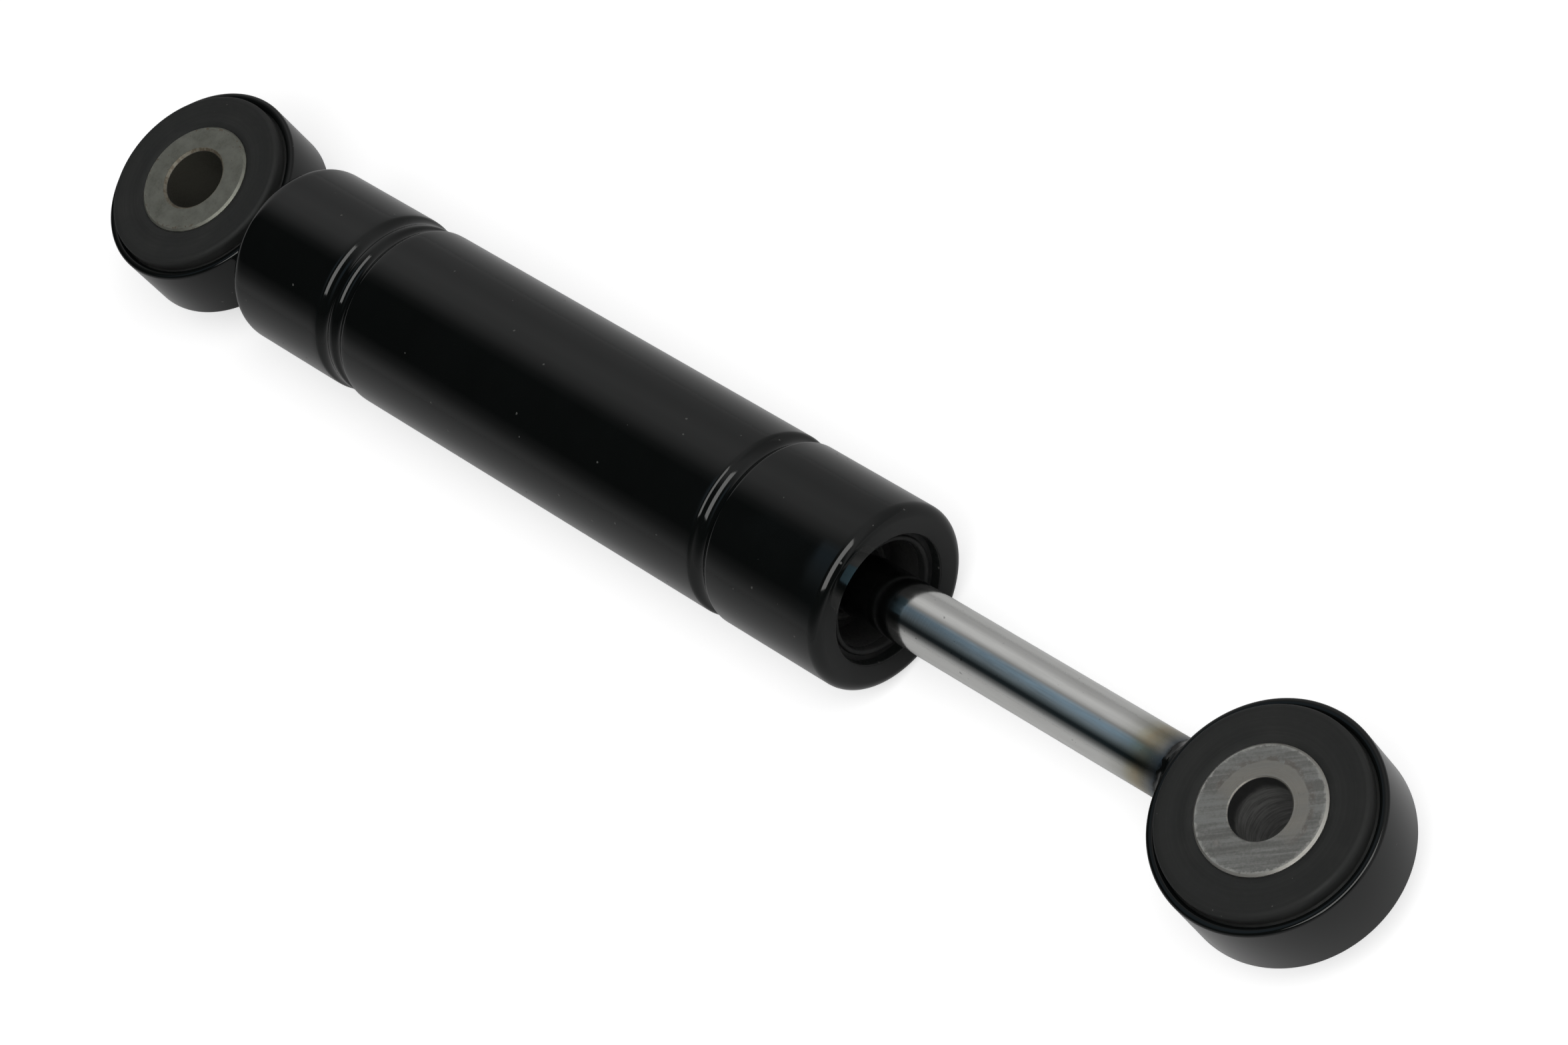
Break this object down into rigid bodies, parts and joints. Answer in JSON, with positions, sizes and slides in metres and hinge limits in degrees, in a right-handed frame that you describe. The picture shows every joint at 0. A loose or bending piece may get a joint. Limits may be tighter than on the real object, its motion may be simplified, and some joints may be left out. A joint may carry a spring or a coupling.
{
  "type": "belt tensioner damper",
  "caption": "Hydraulic belt tensioner damper: closed tube with rolled grooves, chromed rod and a rubber-bushed eye with a steel sleeve at each end",
  "frame": {"origin": "centre of the bore in the body eye, on the damper's own axis", "axes": "+X runs along the damper from the body eye to the rod eye; +Z runs along both parallel bores; +Y follows by the right-hand rule"},
  "size_m": [0.2341, 0.0304, 0.026],
  "materials": {
    "tube_paint": "smooth gloss black paint",
    "eye_paint": "smooth gloss black paint",
    "bush_rubber": "matt moulded rubber",
    "body_sleeve_steel": "matt zinc-plated steel",
    "rod_sleeve_steel": "sawn and turned bright steel",
    "rod_chrome": "hard chrome, ground and polished",
    "cover_steel": "black pressed steel",
    "seal_rubber": "black seal rubber",
    "guide_sinter": "sintered iron",
    "valve_steel": "hardened spring steel",
    "bush_lining": "low-friction plastic"
  },
  "bodies": {
    "cylinder": {"cylinder_tube": "tube_paint", "body_eye_weld": "tube_paint", "body_eye_ring": "eye_paint", "body_eye_rubber": "bush_rubber", "seal_cover": "cover_steel", "rod_seal": "seal_rubber", "seal_garter": "valve_steel", "rod_guide": "guide_sinter", "guide_bush": "bush_lining", "guide_o_ring": "seal_rubber", "base_body": "guide_sinter", "base_spacer": "valve_steel", "base_bleed_disc": "valve_steel", "base_plate_stop": "valve_steel", "base_rivet": "valve_steel"},
    "body_sleeve": {"body_eye_sleeve": "body_sleeve_steel"},
    "base_floating_plate": {"base_plate": "valve_steel"},
    "band": {"piston_band": "bush_lining"},
    "rod": {"piston_rod": "rod_chrome", "rebound_stop": "bush_lining", "stop_washer": "valve_steel", "piston": "guide_sinter", "bleed_disc_1": "valve_steel", "bleed_disc_2": "valve_steel", "clamp_washer": "valve_steel", "piston_nut": "valve_steel", "rod_eye_weld": "eye_paint", "rod_eye_ring": "eye_paint", "rod_eye_rubber": "bush_rubber"},
    "piston_floating_plate": {"piston_plate": "valve_steel"},
    "rod_sleeve": {"rod_eye_sleeve": "rod_sleeve_steel"}
  },
  "joints": [
    {"name": "rod_slide", "type": "slide", "parent": "cylinder", "child": "band", "axis": [1, 0, 0], "range_m": [-0.046, 0.002]},
    {"name": "rod_turn", "type": "hinge", "parent": "band", "child": "rod", "pos_m": [0.1, 0, 0], "axis": [1, 0, 0], "continuous": true},
    {"name": "body_sleeve_twist", "type": "hinge", "parent": "cylinder", "child": "body_sleeve", "pos_m": [0, 0, 0], "axis": [0, 0, 1], "range_deg": [-12, 12], "stiffness_Nm_per_rad": 6},
    {"name": "rod_sleeve_twist", "type": "hinge", "parent": "rod", "child": "rod_sleeve", "pos_m": [0.2037, 0, 0], "axis": [0, 0, 1], "range_deg": [-12, 12], "stiffness_Nm_per_rad": 6},
    {"name": "base_plate_lift", "type": "slide", "parent": "cylinder", "child": "base_floating_plate", "axis": [1, 0, 0], "range_m": [0, 0.0006]},
    {"name": "piston_plate_lift", "type": "slide", "parent": "rod", "child": "piston_floating_plate", "axis": [1, 0, 0], "range_m": [0, 0.0006]}
  ]
}
